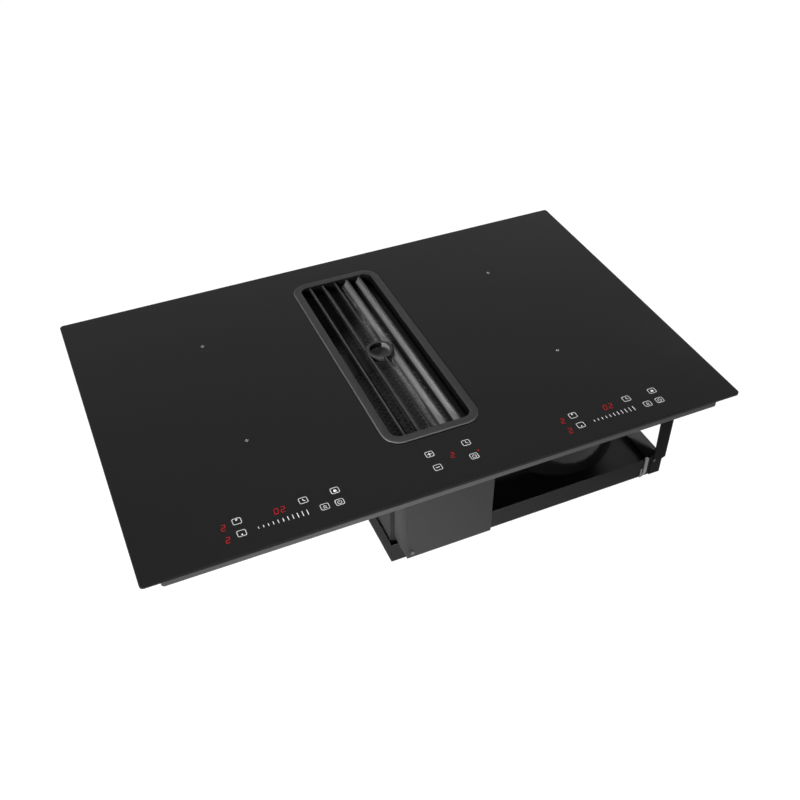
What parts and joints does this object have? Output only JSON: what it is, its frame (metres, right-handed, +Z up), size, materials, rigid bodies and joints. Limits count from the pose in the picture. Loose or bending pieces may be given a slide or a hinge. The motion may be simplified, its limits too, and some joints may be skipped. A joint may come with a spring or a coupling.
{
  "type": "downdraft induction cooktop",
  "caption": "Flat black glass induction cooktop with a lift-out extractor grille in its middle, and the air box, radial fan and base frame that hang below it.",
  "frame": {"origin": "centre of the worktop cut-out, on the worktop's top face (the underside of the glass seal)", "axes": "+X to the user's right along the cooktop's length, +Y to the back, +Z up"},
  "size_m": [0.812, 0.52, 0.2176],
  "materials": {
    "black_glass": "polished black glass ceramic, printed control symbols",
    "seal_foam": "matt black closed-cell foam tape",
    "case_grey": "satin grey coated sheet steel",
    "grille_black": "satin black powder coat on die-cast aluminium",
    "pad_rubber": "matt silicone rubber",
    "filter_black": "satin black coated steel",
    "mesh_metal": "expanded metal mesh, black coated, slight sheen",
    "housing_black": "black powder-coated sheet steel, fine texture",
    "duct_plastic": "moulded black polypropylene, matt",
    "volute_plastic": "moulded black plastic, glossy",
    "wheel_plastic": "moulded dark grey plastic",
    "motor_steel": "zinc-plated steel",
    "shaft_steel": "ground steel",
    "bright_steel": "bright zinc-plated spring steel",
    "screw_black": "black zinc-plated steel screws",
    "board_green": "green solder-resist circuit board",
    "board_black": "dark solder-resist circuit board",
    "display_red": "red seven-segment display blocks",
    "carrier_white": "heat-proof moulded carrier",
    "copper_winding": "varnished copper litz winding",
    "mica_sheet": "pressed mica insulation sheet",
    "ferrite": "dark grey sintered ferrite",
    "galvanised": "galvanised sheet steel",
    "sink_aluminium": "extruded aluminium",
    "touch_carrier": "moulded black carrier",
    "gland_nylon": "black nylon",
    "terminal_plastic": "off-white moulded terminal block"
  },
  "bodies": {
    "hob": {"base_pan": "housing_black", "cable_gland": "gland_nylon", "case_screws": "screw_black", "coil_carriers": "carrier_white", "coil_supports": "carrier_white", "coil_winding_front_left": "copper_winding", "coil_winding_front_right": "copper_winding", "coil_winding_rear_left": "copper_winding", "coil_winding_rear_right": "copper_winding", "cooling_fan_frame_left": "touch_carrier", "cooling_fan_frame_right": "touch_carrier", "display_blocks": "display_red", "ferrite_bars": "ferrite", "flap_pin": "shaft_steel", "front_housing": "housing_black", "front_housing_back": "housing_black", "generator_board_left": "board_green", "generator_board_right": "board_green", "generator_housing_left": "galvanised", "generator_housing_right": "galvanised", "glass_seal": "seal_foam", "glass_top": "black_glass", "heat_sink_left": "sink_aluminium", "heat_sink_right": "sink_aluminium", "inlet_collar": "filter_black", "inlet_plate": "galvanised", "lower_case": "case_grey", "mica_sheets": "mica_sheet", "motor_bearings": "shaft_steel", "motor_stator": "motor_steel", "outlet_spigot": "duct_plastic", "pan_clip": "bright_steel", "plenum": "housing_black", "post_front_right": "housing_black", "post_rear_left": "housing_black", "post_rear_right": "housing_black", "suction_duct": "duct_plastic", "temperature_sensors": "terminal_plastic", "terminal_block": "terminal_plastic", "touch_boards": "board_black", "touch_carriers": "touch_carrier", "volute_feet": "pad_rubber", "volute_lower": "volute_plastic", "volute_upper": "volute_plastic", "worktop_clamps": "bright_steel"},
    "grille": {"grille_frame": "grille_black", "grille_louvres": "grille_black", "grille_ring": "grille_black", "grille_pads": "pad_rubber"},
    "filter": {"filter_frame": "filter_black", "filter_mesh": "mesh_metal", "filter_handle": "filter_black"},
    "drip_tray": {"drip_tray": "duct_plastic"},
    "fan": {"fan_wheel": "wheel_plastic", "fan_blades": "wheel_plastic", "motor_rotor": "motor_steel", "motor_shaft": "shaft_steel"},
    "flap": {"outlet_flap": "wheel_plastic"},
    "cooling_rotor_left": {"cooling_rotor_left": "wheel_plastic"},
    "cooling_rotor_right": {"cooling_rotor_right": "wheel_plastic"}
  },
  "joints": [
    {"name": "grille_lift", "type": "slide", "parent": "hob", "child": "grille", "axis": [0, 0, 1], "range_m": [0, 0.3]},
    {"name": "filter_lift", "type": "slide", "parent": "hob", "child": "filter", "axis": [0, 0, 1], "range_m": [0, 0.18]},
    {"name": "drip_tray_lift", "type": "slide", "parent": "hob", "child": "drip_tray", "axis": [0, 0, 1], "range_m": [0, 0.24]},
    {"name": "fan_spin", "type": "hinge", "parent": "hob", "child": "fan", "pos_m": [0.248, -0.057, -0.15], "axis": [0, 0, 1], "continuous": true},
    {"name": "flap_swing", "type": "hinge", "parent": "hob", "child": "flap", "pos_m": [0.248, 0.1765, -0.10135], "axis": [1, 0, 0], "range_deg": [0, 70]},
    {"name": "cooling_spin_left", "type": "hinge", "parent": "hob", "child": "cooling_rotor_left", "pos_m": [-0.305, 0.146, -0.065], "axis": [0, 0, 1], "continuous": true},
    {"name": "cooling_spin_right", "type": "hinge", "parent": "hob", "child": "cooling_rotor_right", "pos_m": [0.305, 0.146, -0.065], "axis": [0, 0, 1], "continuous": true}
  ],
  "couplings": [
    {"joint": "filter_lift", "follows": "grille_lift", "ratio": 0.6},
    {"joint": "drip_tray_lift", "follows": "grille_lift", "ratio": 0.8}
  ]
}
